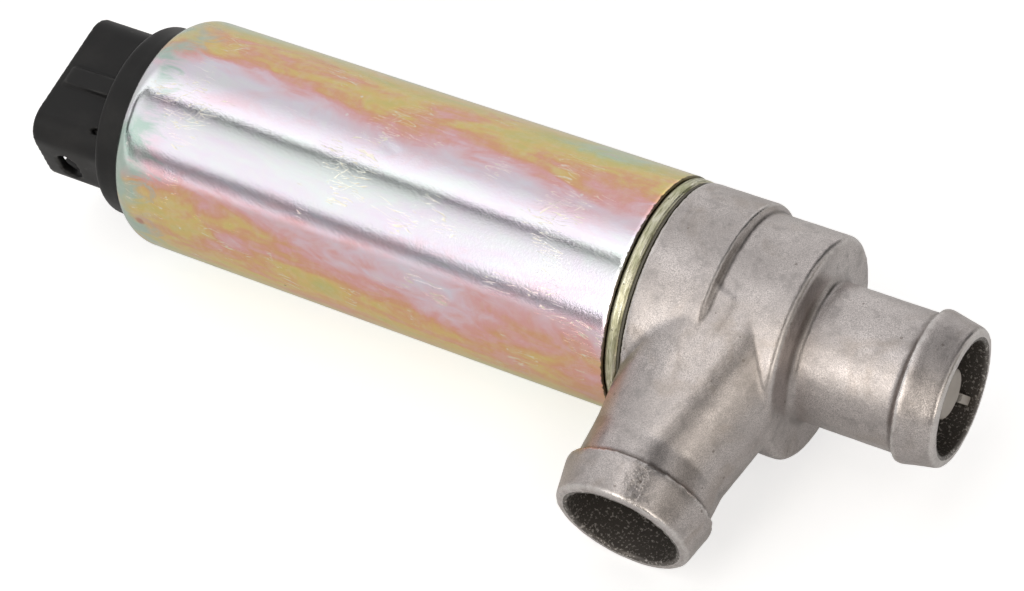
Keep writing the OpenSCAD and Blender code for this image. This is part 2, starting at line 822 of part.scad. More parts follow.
solenoid_can();
connector_cap();
terminal_blade_left();
terminal_blade_right();
cap_seal();
rear_flux_plate();
coil_bobbin();
coil_winding();
coil_tape();
guide_tube();
pole_core();
rear_bush();
stop_washer();
end_plate();
front_bush();
housing_gasket();
valve_housing();
valve_seat();
port_bridge();
armature();
plunger_shaft();
valve_poppet();
poppet_seal();
shaft_clip();
return_spring();
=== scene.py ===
"""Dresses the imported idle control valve: can, casting, plug cap, bridge, spring, finishes.

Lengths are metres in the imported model's frame. The valve's own axis runs along X through
AXIS_Y, AXIS_Z, and the side hose stub leaves it along SIDE_DIRECTION.
"""
import math

import bmesh
import bpy
import numpy as np
from mathutils import Matrix, Vector, noise


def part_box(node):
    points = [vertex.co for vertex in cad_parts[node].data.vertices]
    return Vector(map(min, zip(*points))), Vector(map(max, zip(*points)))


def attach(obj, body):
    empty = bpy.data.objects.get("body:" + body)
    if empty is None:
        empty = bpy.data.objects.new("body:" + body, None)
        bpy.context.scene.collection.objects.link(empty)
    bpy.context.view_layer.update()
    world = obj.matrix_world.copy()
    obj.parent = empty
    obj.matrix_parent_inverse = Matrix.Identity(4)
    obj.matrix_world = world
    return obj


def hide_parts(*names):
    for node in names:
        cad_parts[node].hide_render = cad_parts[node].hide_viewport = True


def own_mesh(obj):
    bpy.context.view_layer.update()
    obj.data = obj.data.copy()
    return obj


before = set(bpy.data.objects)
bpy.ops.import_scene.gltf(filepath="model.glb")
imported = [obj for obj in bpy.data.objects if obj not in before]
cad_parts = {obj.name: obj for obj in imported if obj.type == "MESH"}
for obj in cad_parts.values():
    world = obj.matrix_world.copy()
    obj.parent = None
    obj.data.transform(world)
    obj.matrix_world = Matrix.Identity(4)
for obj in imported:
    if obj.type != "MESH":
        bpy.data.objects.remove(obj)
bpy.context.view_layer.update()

bl_info = {
    "name": "Idle control valve dresser",
    "version": (1, 0, 0),
    "blender": (4, 5, 0),
    "location": "3D View > Sidebar > Idle valve",
    "description": "Builds the visible pieces and finishes of an idle control valve",
    "category": "Object",
}

MM = 0.001
BODY = "valve_body"

can_low, can_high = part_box("solenoid_can")
AXIS_Y = (can_low[1] + can_high[1]) / 2
AXIS_Z = (can_low[2] + can_high[2]) / 2
CAN_RADIUS = (can_high[1] - can_low[1]) / 2
CAN_REAR = can_low[0]
CAN_EDGE = can_high[0]
CAN_WALL = 1.2 * MM
CAN_SHOULDER = 4 * MM
CAN_HOLE_RADIUS = 14.8 * MM

# The side stub leans down until its bead and the can touch the ground.
LEAN = math.radians(13.061859)
SIDE_DIRECTION = Vector((0, -math.cos(LEAN), -math.sin(LEAN)))
SIDE_X = CAN_EDGE + 11.14 * MM
CHAMBER_END = CAN_EDGE + 20.5 * MM
# Radii that part the air passages and the chamber from the outer skin.
PORT_LIMIT = 8.75 * MM
CHAMBER_LIMIT = 14.6 * MM
HUB_RADIUS = 3.6 * MM

# A scar beside the step and a crease below it, as paths in millimetres.
SCAR = [(41.4, -22.9, 20.8), (41.1, -24.6, 20.3), (41.9, -26.4, 19.5)]
CREASE = [(43.3, -25.2, 19.2), (44.2, -26.4, 18.3), (45.6, -26.6, 17.0)]

# The film's iridescent sheen is painted in bands placed from this angle about the axis, which faces
# up and to the front.
PAINTED_SHEEN_MIDDLE = 128.4

CAMERA_PLACE = (0.18486, -0.255585, 0.340604)
CAMERA_RIGHT = (0.86710, 0.49069, -0.08577)
CAMERA_FORWARD = (-0.39430, 0.57089, -0.72014)


def length_setting(label, text, default, low, high):
    """A length, its default and limits given in millimetres."""
    return bpy.props.FloatProperty(name=label, description=text, default=default * MM, min=low * MM,
                                   max=high * MM, unit="LENGTH")


def share_setting(label, text, default):
    return bpy.props.FloatProperty(name=label, description=text, default=default, min=0, max=1,
                                   subtype="FACTOR")


def amount_setting(label, text, default, high):
    return bpy.props.FloatProperty(name=label, description=text, default=default, min=0, max=high)


def colour_setting(label, text, default):
    return bpy.props.FloatVectorProperty(name=label, description=text, subtype="COLOR", size=3,
                                         min=0, max=1, default=default)


class StageSettings(bpy.types.PropertyGroup):
    lens: bpy.props.FloatProperty(
        name="Lens", description="Focal length of the camera on a 36 mm wide sensor",
        default=112.25, min=20, max=300, unit="CAMERA")
    floor_colour: colour_setting("Floor", "Colour of the floor", (0.66, 0.66, 0.66))
    floor_lift: share_setting("Floor lift", "Light that the floor adds of its own", 0.65)
    box_light: amount_setting("Studio light", "Strength of the light all around", 1.0, 4)


class CanSettings(bpy.types.PropertyGroup):
    edge_round: length_setting("Edge rounding", "Rounding of the can's open edge", 0.25, 0.05, 0.6)
    ripple: length_setting("Ripple", "Depth of the unevenness of the drawn wall", 0.03, 0, 0.2)
    pink: colour_setting("Pink film", "Colour of the pink bands", (0.90, 0.50, 0.49))
    orange: colour_setting("Orange film", "Colour of the orange bands", (0.86, 0.48, 0.29))
    yellow: colour_setting("Yellow film", "Colour of the yellow bands", (0.86, 0.66, 0.27))
    olive: colour_setting("Olive film", "Colour of the yellow-green bands", (0.72, 0.67, 0.27))
    green: colour_setting("Green film", "Colour of the green patches", (0.58, 0.72, 0.50))
    teal: colour_setting("Shoulder film", "Grey-green at the drawn shoulder", (0.50, 0.68, 0.60))
    roughness: share_setting("Roughness", "Roughness of the clean film", 0.06)
    streaks: amount_setting("Streaks", "Change of the film along the long streaks", 0.75, 2)
    swirls: amount_setting("Swirls", "Change of the film in the small swirls", 0.32, 2)
    pits: length_setting("Pits", "Depth of the fine pits that roughen reflections", 0.013, 0, 0.1)


class CastingSettings(bpy.types.PropertyGroup):
    cell: length_setting("Cell", "Cell of the remeshed casting", 0.37, 0.25, 1)
    relief: length_setting("Relief", "Depth of the unevenness of the cast skin", 0.035, 0, 0.2)
    flash: length_setting("Flash", "Height of the seam where the mould's halves met", 0.06, 0, 0.3)
    metal: colour_setting("Metal", "Colour of the blasted aluminium", (0.575, 0.533, 0.52))
    worn: colour_setting("Worn metal", "Colour of rubbed edges", (0.78, 0.75, 0.73))
    soot: colour_setting("Soot", "Colour of the film inside the ports", (0.13, 0.118, 0.108))
    roughness: share_setting("Roughness", "Roughness of the blasted skin", 0.33)


class MouldingSettings(bpy.types.PropertyGroup):
    cell: length_setting("Cell", "Cell of the remeshed plug cap", 0.3, 0.2, 1)
    bridge_cell: length_setting("Bridge cell", "Cell of the remeshed bridge", 0.13, 0.1, 0.5)
    crown: length_setting("Hub crown", "Height of the crown on the hub's face", 0.45, 0, 0.8)
    black: colour_setting("Black plastic", "Colour of the plug cap", (0.009, 0.009, 0.0094))


class SpringSettings(bpy.types.PropertyGroup):
    turns: bpy.props.IntProperty(
        name="Turns", description="Turns of the return spring", default=6, min=3, max=12)
    wire: length_setting("Wire", "Diameter of the spring's wire", 0.8, 0.4, 1)
    mean_radius: length_setting("Radius", "Radius of the wire's middle", 4.3, 3.5, 6)


class Graph:
    """Adds nodes to one tree and joins them, so that a finish reads as a list of steps."""

    def __init__(self, tree):
        self.tree = tree

    def add(self, kind, inputs=None, **settings):
        node = self.tree.nodes.new(kind)
        for name, value in settings.items():
            setattr(node, name, value)
        for name, value in (inputs or {}).items():
            self.feed(node.inputs[name], value)
        return node

    def feed(self, socket, value):
        if isinstance(value, bpy.types.NodeSocket):
            self.tree.links.new(value, socket)
        elif hasattr(socket.default_value, "__len__"):
            value = tuple(value)
            if len(socket.default_value) == 4 and len(value) == 3:
                value += (1.0,)
            socket.default_value = value
        else:
            socket.default_value = value

    def calc(self, operation, *values):
        node = self.add("ShaderNodeMath", operation=operation)
        for socket, value in zip(node.inputs, values):
            self.feed(socket, value)
        return node.outputs[0]

    def plus(self, a, b):
        return self.calc("ADD", a, b)

    def minus(self, a, b):
        return self.calc("SUBTRACT", a, b)

    def times(self, a, b):
        return self.calc("MULTIPLY", a, b)

    def swing(self, value, amount):
        """A value about one half, taken about zero and scaled."""
        return self.times(self.minus(value, 0.5), amount)

    def vector(self, operation, *values):
        node = self.add("ShaderNodeVectorMath", operation=operation)
        for socket, value in zip(node.inputs, values):
            self.feed(socket, value)
        return node.outputs[1 if operation == "DISTANCE" else 0]

    def join(self, x, y, z):
        return self.add("ShaderNodeCombineXYZ", {"X": x, "Y": y, "Z": z}).outputs[0]

    def split(self, vector):
        return self.add("ShaderNodeSeparateXYZ", {"Vector": vector}).outputs

    def step(self, value, low, high, to_low=0.0, to_high=1.0):
        node = self.add("ShaderNodeMapRange", {
            "Value": value, "From Min": low, "From Max": high, "To Min": to_low, "To Max": to_high},
            interpolation_type="SMOOTHSTEP")
        return node.outputs[0]

    def mix(self, factor, first, second, blend="MIX"):
        node = self.add("ShaderNodeMix", data_type="RGBA", blend_type=blend)
        for socket, value in zip([s for s in node.inputs if s.enabled], (factor, first, second)):
            self.feed(socket, value)
        return [s for s in node.outputs if s.enabled][0]

    def ramp(self, factor, stops):
        node = self.add("ShaderNodeValToRGB", {"Fac": factor})
        elements = node.color_ramp.elements
        for index, (place, colour) in enumerate(stops):
            if index < 2:
                elements[index].position = place
            else:
                elements.new(place)
            shade = (colour,) * 3 if isinstance(colour, (int, float)) else tuple(colour)
            elements[index].color = shade + (1.0,)
        return node.outputs[0]

    def noise(self, vector, scale, detail=2.0, roughness=0.5, distortion=0.0):
        return self.add("ShaderNodeTexNoise", {
            "Vector": vector, "Scale": scale, "Detail": detail, "Roughness": roughness,
            "Distortion": distortion}).outputs[0]

    def attribute(self, name):
        return self.add("ShaderNodeAttribute", attribute_name=name).outputs["Fac"]

    def shared(self, name, **inputs):
        """The outputs of a node with the shared group of that name, made when first asked for."""
        if name not in GROUPS:
            GROUPS[name] = GROUP_MAKERS[name]()
        node = self.add("ShaderNodeGroup", node_tree=GROUPS[name])
        for label, value in inputs.items():
            self.feed(node.inputs[label.capitalize()], value)
        return node.outputs

    def dotted(self, place, tone, dots, cover, **cells):
        """The tone with scattered dots of another colour: cover is how strongly they show."""
        mask = self.shared("speck", vector=place, **cells)["Mask"]
        return self.mix(self.times(mask, cover), tone, dots)

    def bump(self, height, depth, strength=1.0, normal=None):
        inputs = {"Height": height, "Distance": depth, "Strength": strength}
        if normal is not None:
            inputs["Normal"] = normal
        return self.add("ShaderNodeBump", inputs).outputs[0]


def new_group(name, inputs, outputs):
    """Starts a shader group: inputs are (name, kind, default), outputs are (name, kind)."""
    tree = bpy.data.node_groups.new(name, "ShaderNodeTree")
    for label, kind, default in inputs:
        socket = tree.interface.new_socket(label, in_out="INPUT", socket_type=kind)
        if default is not None:
            socket.default_value = default
    for label, kind in outputs:
        tree.interface.new_socket(label, in_out="OUTPUT", socket_type=kind)
    graph = Graph(tree)
    source = graph.add("NodeGroupInput").outputs
    sink = graph.add("NodeGroupOutput").inputs
    return tree, graph, source, sink


def axis_group():
    """Place about the valve's axis: distance along it, angle in degrees from +Y, and radius."""
    tree, g, source, sink = new_group(
        "about_axis", [("Vector", "NodeSocketVector", None)],
        [("Along", "NodeSocketFloat"), ("Around", "NodeSocketFloat"),
         ("Radius", "NodeSocketFloat"), ("Sheet", "NodeSocketVector")])
    place = g.vector("SUBTRACT", source["Vector"], (0, AXIS_Y, AXIS_Z))
    x, y, z = g.split(place)
    angle = g.calc("ARCTAN2", z, y)
    radius = g.calc("SQRT", g.plus(g.times(y, y), g.times(z, z)))
    g.feed(sink["Along"], x)
    g.feed(sink["Around"], g.calc("DEGREES", angle))
    g.feed(sink["Radius"], radius)
    g.feed(sink["Sheet"], g.join(x, g.times(angle, CAN_RADIUS), 0.0))
    return tree


def scratch_group():
    """Short wandering hairlines: thin bands of stretched noise, cut into pieces inside patches."""
    tree, g, source, sink = new_group(
        "hairlines", [("Vector", "NodeSocketVector", None), ("Turn", "NodeSocketFloat", 0.0),
                      ("Fineness", "NodeSocketFloat", 500.0), ("Share", "NodeSocketFloat", 0.5)],
        [("Mask", "NodeSocketFloat")])
    start = source["Vector"]
    wander = g.add("ShaderNodeTexNoise", {"Vector": start, "Scale": 330.0, "Detail": 2.0}).outputs
    offset = g.vector("SUBTRACT", wander["Color"], (0.5, 0.5, 0.5))
    moved = g.vector("ADD", start, g.vector("MULTIPLY", offset, (0.8 * MM, 0.8 * MM, 0)))
    turned = g.add("ShaderNodeVectorRotate", {"Vector": moved, "Angle": source["Turn"]},
                   rotation_type="Z_AXIS").outputs[0]
    stretched = g.vector("MULTIPLY", turned, (0.09, 1.0, 1.0))
    line = g.noise(stretched, source["Fineness"], 1.0, 0.4)
    hair = g.step(g.calc("ABSOLUTE", g.minus(line, 0.5)), 0.004, 0.010, 1.0, 0.0)
    pieces = g.noise(g.vector("MULTIPLY", turned, (0.45, 1.0, 1.0)), 900.0, 2.0)
    limit = g.minus(0.72, g.times(source["Share"], 0.3))
    gate = g.calc("GREATER_THAN", g.noise(start, 95.0, 2.0), limit)
    g.feed(sink["Mask"], g.times(g.times(hair, g.step(pieces, 0.46, 0.54)), gate))
    return tree


def grain_group():
    """Blasted or moulded grain: a fine height and a slower cloud, both about one half."""
    tree, g, source, sink = new_group(
        "grain", [("Vector", "NodeSocketVector", None), ("Fineness", "NodeSocketFloat", 3000.0)],
        [("Height", "NodeSocketFloat"), ("Cloud", "NodeSocketFloat")])
    fine = g.noise(source["Vector"], source["Fineness"], 3.0, 0.6)
    slow = g.noise(source["Vector"], g.times(source["Fineness"], 0.06), 4.0, 0.55)
    g.feed(sink["Height"], fine)
    g.feed(sink["Cloud"], slow)
    return tree


def speck_group():
    """Scattered dots: the share of the cells that hold one is an input."""
    tree, g, source, sink = new_group(
        "specks", [("Vector", "NodeSocketVector", None), ("Density", "NodeSocketFloat", 300.0),
                   ("Share", "NodeSocketFloat", 0.2), ("Size", "NodeSocketFloat", 0.16)],
        [("Mask", "NodeSocketFloat")])
    cell = g.add("ShaderNodeTexVoronoi", {"Vector": source["Vector"], "Scale": source["Density"]})
    distance, pick = cell.outputs["Distance"], g.split(cell.outputs["Color"])[0]
    chosen = g.calc("LESS_THAN", pick, source["Share"])
    ragged = g.times(g.noise(source["Vector"], 4000.0), source["Size"])
    dot = g.calc("LESS_THAN", distance, g.plus(ragged, g.times(source["Size"], 0.5)))
    g.feed(sink["Mask"], g.times(chosen, dot))
    return tree


def ring_group():
    """Turning marks: fine rings about the valve's axis, from the place along it and the radius."""
    tree, g, source, sink = new_group(
        "turning_marks", [("Along", "NodeSocketFloat", 0.0), ("Radius", "NodeSocketFloat", 0.0),
                          ("Fineness", "NodeSocketFloat", 6000.0)],
        [("Height", "NodeSocketFloat")])
    where = g.join(source["Along"], source["Radius"], 0.0)
    g.feed(sink["Height"], g.noise(where, source["Fineness"], 3.0, 0.7))
    return tree


GROUP_MAKERS = {"axis": axis_group, "scratch": scratch_group, "grain": grain_group,
                "speck": speck_group, "ring": ring_group}
GROUPS = {}


def new_material(name):
    material = bpy.data.materials.new(name)
    material.use_nodes = True
    graph = Graph(material.node_tree)
    shader = next(n for n in material.node_tree.nodes if n.type == "BSDF_PRINCIPLED")
    place = graph.add("ShaderNodeTexCoord").outputs["Object"]
    return material, graph, shader.inputs, place


def turned_metal(name, colour, stain, roughness, fineness=5000.0, depth=0.006):
    """Turned or drawn metal: rings about the axis, slow stains and a little pitting."""
    material, g, shader, place = new_material(name)
    about = g.shared("axis", vector=place)
    rings = g.shared("ring", along=about["Along"], radius=about["Radius"],
                     fineness=fineness)["Height"]
    grain = g.shared("grain", vector=place, fineness=2600.0)
    tone = g.mix(g.step(grain["Cloud"], 0.42, 0.68), colour, stain)
    tone = g.mix(g.step(rings, 0.35, 0.75, 0.0, 0.22), tone, stain)
    g.feed(shader["Base Color"], tone)
    shader["Metallic"].default_value = 1.0
    rough = g.step(grain["Cloud"], 0.3, 0.7, roughness - 0.06, roughness + 0.12)
    g.feed(shader["Roughness"], rough)
    rough_skin = g.bump(grain["Height"], 0.004 * MM, 0.5)
    g.feed(shader["Normal"], g.bump(rings, depth * MM, 0.8, rough_skin))
    return material


def moulded(name, colour, dust, roughness, fineness=2200.0, depth=0.01, wear=None, shine=0.5):
    """Moulded plastic or rubber: fine grain, dull clouds, pale specks, and, if a worn colour is
    given, rubbed edges and painted shade in corners and recesses.
    """
    material, g, shader, place = new_material(name)
    grain = g.shared("grain", vector=place, fineness=fineness)
    tone = g.mix(g.step(grain["Cloud"], 0.45, 0.75, 0.0, 0.35), colour, dust)
    tone = g.dotted(place, tone, dust, 0.7, density=420.0, share=0.035, size=0.13)
    if wear:
        worn, hollow = map(g.attribute, ("worn", "hollow"))
        rub = g.plus(worn, g.swing(grain["Cloud"], 0.5))
        tone = g.mix(g.step(rub, 0.25, 0.9, 0.0, 0.55), tone, wear)
        # Painted shade: a darker copy of the colour in corners and recesses.
        tone = g.mix(g.step(hollow, 0.1, 0.7, 0.0, 0.7), tone, [c * 0.15 for c in colour])
    g.feed(shader["Base Color"], tone)
    shader["Specular IOR Level"].default_value = shine
    g.feed(shader["Roughness"], g.step(grain["Cloud"], 0.3, 0.7, roughness - 0.07, roughness + 0.1))
    g.feed(shader["Normal"], g.bump(grain["Height"], depth * MM, 0.7))
    return material


def film_material(settings):
    """Yellow chromate over zinc.

    The colour is painted sheen: the film's iridescent bands are set by the angle about the can,
    pale in the middle, on the side that faces up and to the front. The film's own thickness
    changes them in long streaks and in small swirls. The drawn shoulder is grey-green in patches,
    the open edge is bare and dark, and pits, specks and hairlines break the film.
    """
    material, g, shader, place = new_material("iridescent_zinc")
    about = g.shared("axis", vector=place)
    station = g.calc("DIVIDE", g.minus(about["Along"], CAN_REAR), CAN_EDGE - CAN_REAR)
    turn = g.calc("WRAP", g.minus(PAINTED_SHEEN_MIDDLE, about["Around"]), 180.0, -180.0)

    def at(degrees):
        return (degrees + 180) / 360

    # Painted sheen: iridescent colour set by the angle from the side that faces up and to the
    # front.
    painted_sheen = g.ramp(g.calc("DIVIDE", g.plus(turn, 180.0), 360.0), [
        (0.0, 0.78), (at(-90), 0.52), (at(-60), 0.38), (at(-35), 0.25), (at(-20), 0.12),
        (at(-12), 0.05), (at(5), 0.03), (at(17), 0.08), (at(30), 0.17), (at(44), 0.28),
        (at(53), 0.37), (at(64), 0.5), (at(90), 0.60), (1.0, 0.78)])
    streaks = g.noise(g.vector("MULTIPLY", place, (34, 120, 120)), 1.0, 3.0, 0.55, 0.7)
    swirls = g.noise(g.vector("MULTIPLY", place, (130, 260, 260)), 1.0, 4.0, 0.6, 1.4)
    cloud = g.plus(g.swing(streaks, settings.streaks), g.swing(swirls, settings.swirls))
    # The film's own thickness changes the painted sheen in long streaks and small swirls.
    thickness = g.plus(painted_sheen, g.times(cloud, g.step(painted_sheen, 0.05, 0.28, 0.45, 1.0)))
    film = g.ramp(thickness, [
        (0.0, (0.86, 0.93, 0.92)), (0.09, (0.88, 0.82, 0.93)), (0.18, (0.92, 0.68, 0.76)),
        (0.26, settings.pink), (0.34, settings.orange), (0.43, settings.yellow),
        (0.54, settings.olive), (0.64, settings.green), (0.74, (0.84, 0.52, 0.50)),
        (0.86, (0.68, 0.58, 0.70)), (1.0, (0.80, 0.62, 0.28))])
    near_shoulder = g.step(g.plus(station, g.swing(swirls, 0.3)), 0.035, 0.115, 1.0, 0.0)
    blotch = g.step(g.noise(place, 150.0, 2.0), 0.4, 0.58, 0.15, 0.9)
    film = g.mix(g.times(near_shoulder, blotch), film, settings.teal)
    hole_edge = g.step(about["Radius"], 14.9 * MM, 15.6 * MM, 0.7, 0.0)
    film = g.mix(hole_edge, film, (0.62, 0.68, 0.24))

    grain = g.shared("grain", vector=place, fineness=2600.0)
    fine_patch = g.noise(place, 700.0, 3.0, 0.65)
    film = g.mix(g.step(fine_patch, 0.4, 0.7, 0.0, 0.14), film, (0.93, 0.9, 0.86))

    scratch = None
    for turned, fineness, share in ((0.0, 800.0, 0.56), (-0.12, 1100.0, 0.6), (0.14, 950.0, 0.5),
                                    (0.9, 900.0, 0.3)):
        hair = g.shared("scratch", vector=about["Sheet"], turn=turned, fineness=fineness,
                        share=share)["Mask"]
        scratch = hair if scratch is None else g.calc("MAXIMUM", scratch, hair)
    film = g.mix(g.times(scratch, 0.75), film, (0.93, 0.89, 0.72))
    film = g.dotted(place, film, (0.2, 0.12, 0.07), 0.7, density=230.0, share=0.06, size=0.055)
    bright = g.shared("speck", vector=place, density=420.0, share=0.05, size=0.1)["Mask"]
    film = g.mix(g.times(bright, 0.5), film, (0.96, 0.96, 0.92))
    spot = g.vector("DISTANCE", place, (CAN_REAR + 5.4 * MM, AXIS_Y - 17.4 * MM, AXIS_Z - 1.6 * MM))
    spot = g.plus(spot, g.times(fine_patch, 0.6 * MM))
    film = g.mix(g.step(spot, 0.7 * MM, 1.3 * MM, 0.55, 0.0), film, (0.55, 0.16, 0.14))

    ragged = g.swing(g.noise(place, 1500.0, 2.0), 0.008)
    rim = g.step(g.plus(station, ragged), 0.9960, 0.9980)
    film = g.mix(g.times(rim, 0.9), film, (0.13, 0.11, 0.07))
    g.feed(shader["Base Color"], film)
    shader["Metallic"].default_value = 1.0
    dull = g.plus(g.times(near_shoulder, 0.05), g.times(scratch, 0.15))
    dull = g.plus(dull, g.times(rim, 0.25))
    low, high = settings.roughness - 0.02, settings.roughness + 0.04
    g.feed(shader["Roughness"], g.plus(g.step(grain["Cloud"], 0.35, 0.7, low, high), dull))
    waves = g.noise(g.vector("MULTIPLY", place, (120, 300, 300)), 1.0, 1.0, 0.5)
    skin = g.bump(waves, 0.01 * MM, 0.6)
    skin = g.bump(g.noise(place, 2400.0, 4.0, 0.75), settings.pits, 1.0, skin)
    marks = g.plus(g.times(scratch, -1.0), g.times(bright, -1.0))
    g.feed(shader["Normal"], g.bump(marks, 0.012 * MM, 0.6, skin))
    return material


def casting_material(settings):
    """Shot-blasted aluminium: salt-and-pepper grain, mottle, stains and pits, paler rubbed edges,
    painted shade in corners and recesses, one scar with a crease, and glinting soot inside the
    ports."""
    material, g, shader, place = new_material("blasted_aluminium")
    grain = g.shared("grain", vector=place, fineness=4200.0)
    coarse = g.shared("grain", vector=place, fineness=1500.0)
    worn, hollow, inside, scar = map(g.attribute, ("worn", "hollow", "inside", "scar"))

    def shade(factor):
        return [c * factor for c in settings.metal]

    salt = g.noise(place, 7500.0, 1.0)
    tone = g.mix(g.step(salt, 0.36, 0.64), shade(0.66), shade(1.3))
    tone = g.mix(g.step(grain["Height"], 0.35, 0.65, 0.0, 0.4), tone, shade(1.15))
    tone = g.mix(g.step(coarse["Cloud"], 0.36, 0.66, 0.0, 0.5), tone, shade(0.74))
    mottle = g.noise(place, 430.0, 5.0, 0.7)
    tone = g.mix(g.step(mottle, 0.48, 0.7, 0.0, 0.6), tone, shade(0.6))
    tone = g.dotted(place, tone, (0.2, 0.175, 0.155), 0.6, density=700.0, share=0.07, size=0.16)
    stain = g.step(g.noise(place, 130.0, 4.0, 0.6, 0.8), 0.52, 0.72, 0.0, 0.36)
    tone = g.mix(stain, tone, (0.36, 0.30, 0.25))
    rub = g.plus(worn, g.swing(coarse["Height"], 0.7))
    tone = g.mix(g.step(rub, 0.2, 0.8, 0.0, 0.75), tone, settings.worn)
    # Painted shade: darker in corners and recesses, such as the foot of the step.
    tone = g.mix(g.step(hollow, 0.1, 0.7, 0.0, 0.6), tone, (0.17, 0.15, 0.14))
    hair = g.shared("scratch", vector=g.vector("ADD", place, (0, 0.013, 0)), turn=0.9,
                   fineness=560.0, share=0.5)["Mask"]
    tone = g.mix(g.times(hair, 0.25), tone, settings.worn)
    gouge = g.times(scar, g.step(coarse["Height"], 0.45, 0.6))
    tone = g.mix(g.times(gouge, 0.55), tone, (0.2, 0.19, 0.18))
    glints = g.noise(place, 2600.0, 2.0, 0.6)
    soot = g.mix(g.step(glints, 0.55, 0.66), settings.soot, (0.55, 0.52, 0.49))
    covered = g.step(g.plus(inside, g.swing(coarse["Height"], 0.3)), 0.42, 0.58)
    tone = g.mix(covered, tone, soot)
    g.feed(shader["Base Color"], tone)
    g.feed(shader["Metallic"], g.step(covered, 0.0, 1.0, 1.0, 0.6))
    rough = g.step(coarse["Cloud"], 0.3, 0.7, settings.roughness - 0.03, settings.roughness + 0.06)
    rough = g.minus(rough, g.step(rub, 0.2, 0.8, 0.0, 0.1))
    g.feed(shader["Roughness"], g.plus(rough, g.times(covered, 0.1)))
    skin = g.bump(coarse["Height"], 0.025 * MM, 0.7)
    skin = g.bump(gouge, 0.12 * MM, 0.8, skin)
    fine = g.plus(grain["Height"], g.times(salt, 0.6))
    g.feed(shader["Normal"], g.bump(fine, 0.02 * MM, 1.0, skin))
    return material


def end_plate_material():
    """Olive zinc on the end plate's rim: cream and green clouds, dark streaks and fine pits."""
    material, g, shader, place = new_material("olive_zinc")
    about = g.shared("axis", vector=place)
    along_rim = g.join(g.times(about["Along"], 4200.0), g.times(about["Around"], 0.13),
                       g.times(about["Radius"], 1200.0))
    streaks = g.noise(along_rim, 1.0, 4.0, 0.62, 0.6)
    tone = g.ramp(streaks, [(0.3, (0.12, 0.11, 0.07)), (0.4, (0.38, 0.37, 0.24)),
                            (0.5, (0.60, 0.58, 0.41)), (0.64, (0.82, 0.80, 0.66))])
    grain = g.shared("grain", vector=place, fineness=2600.0)
    tone = g.mix(g.step(grain["Cloud"], 0.45, 0.7, 0.0, 0.5), tone, (0.42, 0.45, 0.24))
    tone = g.dotted(place, tone, (0.06, 0.055, 0.04), 0.75, density=1400.0, share=0.12, size=0.22)
    g.feed(shader["Base Color"], tone)
    shader["Metallic"].default_value = 1.0
    g.feed(shader["Roughness"], g.step(streaks, 0.3, 0.7, 0.4, 0.24))
    skin = g.bump(grain["Height"], 0.02 * MM, 0.8)
    g.feed(shader["Normal"], g.bump(streaks, 0.05 * MM, 0.8, skin))
    return material


def winding_material():
    """Enamelled wire: a shallow groove for each turn, and enamel that changes from turn to turn."""
    material, g, shader, place = new_material("enamelled_wire")
    about = g.shared("axis", vector=place)
    turns = g.times(about["Along"], 1 / (0.45 * MM))
    wave = g.calc("ABSOLUTE", g.calc("SINE", g.times(turns, math.pi)))
    pick = g.noise(g.join(g.calc("FLOOR", turns), 0.0, 0.0), 3.7, 1.0)
    g.feed(shader["Base Color"], g.mix(pick, (0.52, 0.2, 0.07), (0.72, 0.36, 0.16)))
    shader["Metallic"].default_value = 1.0
    g.feed(shader["Roughness"], g.step(wave, 0.0, 1.0, 0.5, 0.28))
    g.feed(shader["Normal"], g.bump(wave, 0.12 * MM, 1.0))
    return material


def add_object(name, mesh, material, body):
    piece = bpy.data.objects.new(name, mesh)
    bpy.context.scene.collection.objects.link(piece)
    mesh.materials.clear()
    mesh.materials.append(material)
    for polygon in mesh.polygons:
        polygon.use_smooth = True
    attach(piece, body)
    return piece


def tidied(mesh, merge=0.0, outward=False):
    """Merges the mesh's doubles within a distance, and turns its faces outward if asked."""
    work = bmesh.new()
    work.from_mesh(mesh)
    if merge:
        bmesh.ops.remove_doubles(work, verts=work.verts, dist=merge)
    if outward:
        bmesh.ops.recalc_face_normals(work, faces=work.faces)
    work.to_mesh(mesh)
    work.free()
    return mesh


def evaluated(mesh, add_modifier):
    """A plain mesh of what the modifier makes of the given one, which is removed."""
    helper = bpy.data.objects.new("helper", mesh)
    bpy.context.scene.collection.objects.link(helper)
    add_modifier(helper.modifiers)
    depsgraph = bpy.context.evaluated_depsgraph_get()
    result = bpy.data.meshes.new_from_object(helper.evaluated_get(depsgraph))
    helper.modifiers.clear()
    bpy.data.objects.remove(helper)
    bpy.data.meshes.remove(mesh)
    return result


def remeshed(name, cell):
    """The mesh of a CAD node, rebuilt from cells of the given size."""
    def modifier(modifiers):
        remesh = modifiers.new("remesh", "REMESH")
        remesh.mode = "VOXEL"
        remesh.voxel_size = cell
        remesh.adaptivity = 0

    result = evaluated(tidied(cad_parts[name].data.copy(), merge=0.002 * MM), modifier)
    for layer in list(result.uv_layers):
        result.uv_layers.remove(layer)
    return result


def vertex_values(mesh, name):
    flat = np.empty(len(mesh.vertices) * 3)
    mesh.vertices.foreach_get(name, flat)
    return flat.reshape(-1, 3)


def put_points(mesh, points):
    mesh.vertices.foreach_set("co", np.ascontiguousarray(points).ravel())
    mesh.update()


